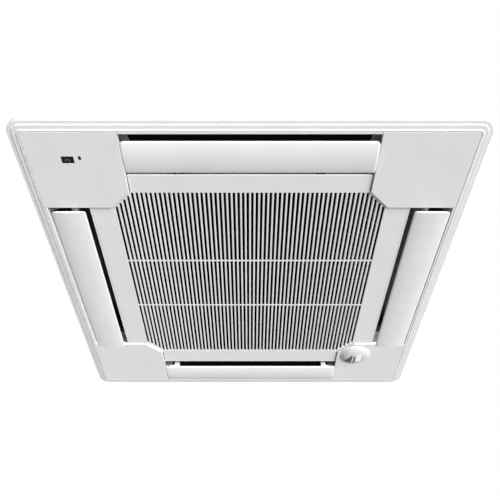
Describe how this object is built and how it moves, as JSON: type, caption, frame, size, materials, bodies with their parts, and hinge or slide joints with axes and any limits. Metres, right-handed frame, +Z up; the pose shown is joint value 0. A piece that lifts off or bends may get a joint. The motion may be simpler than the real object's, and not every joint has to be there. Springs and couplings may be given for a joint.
{
  "type": "ceiling cassette air conditioner",
  "caption": "Ceiling cassette air conditioner with a square flush panel, slatted hinged intake grille, curved outlet vanes on every side and the cabinet above the ceiling.",
  "frame": {"origin": "middle of the panel in the plane of the ceiling's underside", "axes": "+Z up into the ceiling, -Y towards the viewer's side of the panel with the receiver window at its left end, +X to the right"},
  "size_m": [0.95, 0.95, 0.302],
  "materials": {
    "white_plastic": "satin white moulded panel plastic",
    "vane_plastic": "satin white moulded vane plastic",
    "black_foam": "matt closed-cell foam, black",
    "white_foam": "matt bead foam, white",
    "window_plastic": "dark translucent infra-red window",
    "lamp_plastic": "small dark indicator lens",
    "grey_plastic": "grey moulded plastic",
    "net": "woven filter net",
    "zinc_steel": "galvanised sheet steel",
    "fins": "aluminium fin pack",
    "copper": "drawn copper tube",
    "brass": "turned brass",
    "motor_black": "black enamelled motor case",
    "fan_plastic": "moulded fan plastic",
    "board": "green circuit board"
  },
  "bodies": {
    "unit": {"panel_frame": "white_plastic", "ceiling_gasket": "black_foam", "corner_cover_back_right": "white_plastic", "corner_cover_back_left": "white_plastic", "corner_cover_front_left": "white_plastic", "corner_cover_front_right": "white_plastic", "receiver_window": "window_plastic", "status_lamp": "lamp_plastic", "vane_motor_front": "zinc_steel", "outlet_liner_front": "black_foam", "vane_motor_right": "zinc_steel", "outlet_liner_right": "black_foam", "vane_motor_back": "zinc_steel", "outlet_liner_back": "black_foam", "vane_motor_left": "zinc_steel", "outlet_liner_left": "black_foam", "catch_housing_left": "grey_plastic", "catch_housing_right": "grey_plastic", "sensor_ring": "white_plastic", "sensor_motor": "zinc_steel", "drain_pan": "black_foam", "cabinet_shell": "zinc_steel", "top_plate": "zinc_steel", "cabinet_liner": "white_foam", "heat_exchanger": "fins", "gas_pipe": "copper", "liquid_pipe": "copper", "gas_flare_nut": "brass", "liquid_flare_nut": "brass", "bell_mouth": "white_plastic", "fan_motor": "motor_black", "control_box": "grey_plastic", "control_box_cover": "zinc_steel", "circuit_board": "board", "drain_pump": "grey_plastic", "drain_pipe": "grey_plastic", "hanger_bracket_back_right": "zinc_steel", "panel_screw_back_right": "zinc_steel", "hanger_bracket_back_left": "zinc_steel", "panel_screw_back_left": "zinc_steel", "hanger_bracket_front_left": "zinc_steel", "panel_screw_front_left": "zinc_steel", "hanger_bracket_front_right": "zinc_steel", "panel_screw_front_right": "zinc_steel"},
    "vane_front": {"vane_front": "vane_plastic"},
    "vane_right": {"vane_right": "vane_plastic"},
    "vane_back": {"vane_back": "vane_plastic"},
    "vane_left": {"vane_left": "vane_plastic"},
    "grille": {"intake_grille": "white_plastic", "filter_frame": "grey_plastic", "filter_net": "net"},
    "catch_left": {"catch_plunger_left": "white_plastic"},
    "catch_right": {"catch_plunger_right": "white_plastic"},
    "sensor": {"sensor_head": "vane_plastic"},
    "fan": {"fan": "fan_plastic", "fan_nut": "brass"},
    "float": {"pump_float": "white_plastic"}
  },
  "joints": [
    {"name": "vane_front_swing", "type": "hinge", "parent": "unit", "child": "vane_front", "pos_m": [0, -0.388, -0.0065], "axis": [1, 0, 0], "range_deg": [0, 60]},
    {"name": "vane_right_swing", "type": "hinge", "parent": "unit", "child": "vane_right", "pos_m": [0.388, 0, -0.0065], "axis": [0, 1, 0], "range_deg": [0, 60]},
    {"name": "vane_back_swing", "type": "hinge", "parent": "unit", "child": "vane_back", "pos_m": [0, 0.388, -0.0065], "axis": [-1, 0, 0], "range_deg": [0, 60]},
    {"name": "vane_left_swing", "type": "hinge", "parent": "unit", "child": "vane_left", "pos_m": [-0.388, 0, -0.0065], "axis": [0, -1, 0], "range_deg": [0, 60]},
    {"name": "grille_hinge", "type": "hinge", "parent": "unit", "child": "grille", "pos_m": [0, 0.336, -0.0055], "axis": [1, 0, 0], "range_deg": [0, 90]},
    {"name": "catch_left_press", "type": "slide", "parent": "unit", "child": "catch_left", "axis": [0, 0, 1], "range_m": [0, 0.002], "stiffness_N_per_m": 600, "springref_m": -0.002},
    {"name": "catch_right_press", "type": "slide", "parent": "unit", "child": "catch_right", "axis": [0, 0, 1], "range_m": [0, 0.002], "stiffness_N_per_m": 600, "springref_m": -0.002},
    {"name": "sensor_turn", "type": "hinge", "parent": "unit", "child": "sensor", "pos_m": [0.31232, 0.31232, -0.0181], "axis": [0, 0, 1], "range_deg": [-175, 175]},
    {"name": "fan_spin", "type": "hinge", "parent": "unit", "child": "fan", "pos_m": [0, 0, 0.16], "axis": [0, 0, 1], "continuous": true},
    {"name": "float_rise", "type": "slide", "parent": "unit", "child": "float", "axis": [0, 0, 1], "range_m": [0, 0.01]}
  ]
}
